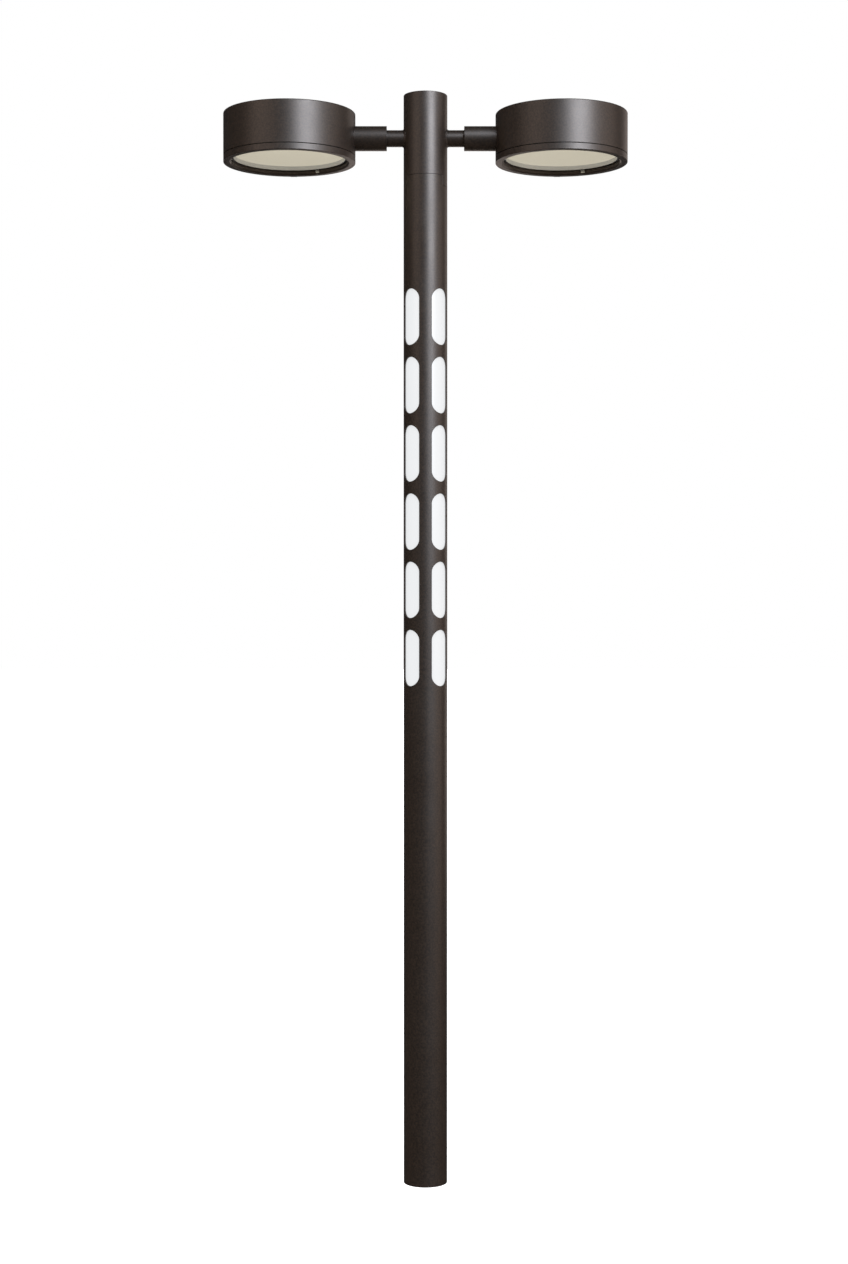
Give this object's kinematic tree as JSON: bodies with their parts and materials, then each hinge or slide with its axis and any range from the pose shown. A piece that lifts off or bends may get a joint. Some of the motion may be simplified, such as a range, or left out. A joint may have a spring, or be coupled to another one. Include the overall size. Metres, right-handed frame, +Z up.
{
  "type": "street light column",
  "caption": "Pedestrian lighting column: a round shaft with lit oblong slots, and a hub with a cross arm that carries drum lanterns which tilt and open.",
  "frame": {"origin": "centre of the anchor bolt circle, at ground level, on the underside of the base plate", "axes": "+Z up the shaft; X along the cross arm; -Y is the front, and the access cover and the bezel hinges are on +Y"},
  "size_m": [1.47, 0.497, 3.965],
  "materials": {
    "steel_powder_coat": "satin",
    "alloy_powder_coat": "satin",
    "galvanised_steel": "matte",
    "stainless": "satin",
    "black_screw": "satin",
    "seal_rubber": "matte",
    "board_plastic": "matte",
    "cutout_plastic": "satin",
    "terminal_plastic": "satin",
    "driver_case": "satin",
    "bare_aluminium": "satin",
    "circuit_board": "satin",
    "opal_acrylic": "satin",
    "cream_diffuser": "matte",
    "clear_glass": "gloss",
    "cable_jacket": "satin"
  },
  "bodies": {
    "column": {"pole_shaft": "steel_powder_coat", "anchor_base": "galvanised_steel", "base_set_screws": "stainless", "handhole_frame": "galvanised_steel", "backboard": "board_plastic", "backboard_brackets": "galvanised_steel", "fuse_cutout": "cutout_plastic", "shaft_driver": "driver_case", "diffuser_stop_ring": "galvanised_steel", "mast_end_plates": "bare_aluminium", "diffuser_tube": "opal_acrylic", "led_mast": "bare_aluminium", "led_strips": "circuit_board", "power_cables": "cable_jacket", "hub_body": "alloy_powder_coat", "hub_spigot": "galvanised_steel", "hub_fixing_screws": "stainless", "hub_cap": "alloy_powder_coat", "hub_cap_gasket": "seal_rubber", "hub_cap_screws": "stainless", "hub_splitter": "terminal_plastic", "cross_arm": "steel_powder_coat", "arm_welds": "steel_powder_coat", "arm_end_plugs": "stainless", "arm_stop_pins": "stainless"},
    "left_head": {"left_housing": "alloy_powder_coat", "left_collar": "alloy_powder_coat", "left_lock_nut": "stainless", "left_head_screws": "stainless", "left_hinge_pin": "stainless", "left_heat_sink": "bare_aluminium", "left_led_board": "circuit_board", "left_reflector": "bare_aluminium", "left_diffuser_panel": "cream_diffuser", "left_driver": "driver_case"},
    "left_bezel": {"left_bezel": "alloy_powder_coat", "left_bezel_gasket": "seal_rubber", "left_bezel_screws": "black_screw", "left_lens": "clear_glass", "left_lens_gasket": "seal_rubber", "left_lens_clips": "stainless"},
    "right_head": {"right_housing": "alloy_powder_coat", "right_collar": "alloy_powder_coat", "right_lock_nut": "stainless", "right_head_screws": "stainless", "right_hinge_pin": "stainless", "right_heat_sink": "bare_aluminium", "right_led_board": "circuit_board", "right_reflector": "bare_aluminium", "right_diffuser_panel": "cream_diffuser", "right_driver": "driver_case"},
    "right_bezel": {"right_bezel": "alloy_powder_coat", "right_bezel_gasket": "seal_rubber", "right_bezel_screws": "black_screw", "right_lens": "clear_glass", "right_lens_gasket": "seal_rubber", "right_lens_clips": "stainless"},
    "access_cover": {"handhole_cover": "steel_powder_coat", "cover_gasket": "seal_rubber", "cover_screws": "stainless"}
  },
  "joints": [
    {"name": "left_head_tilt", "type": "hinge", "parent": "column", "child": "left_head", "pos_m": [-0.495, 0, 3.809], "axis": [1, 0, 0], "range_deg": [-45, 45]},
    {"name": "left_bezel_hinge", "type": "hinge", "parent": "left_head", "child": "left_bezel", "pos_m": [-0.495, 0.251, 3.74335], "axis": [1, 0, 0], "range_deg": [0, 90]},
    {"name": "right_head_tilt", "type": "hinge", "parent": "column", "child": "right_head", "pos_m": [0.495, 0, 3.809], "axis": [1, 0, 0], "range_deg": [-45, 45]},
    {"name": "right_bezel_hinge", "type": "hinge", "parent": "right_head", "child": "right_bezel", "pos_m": [0.495, 0.251, 3.74335], "axis": [1, 0, 0], "range_deg": [0, 90]},
    {"name": "access_cover_removal", "type": "slide", "parent": "column", "child": "access_cover", "axis": [0, 1, 0], "range_m": [0, 0.12]}
  ]
}
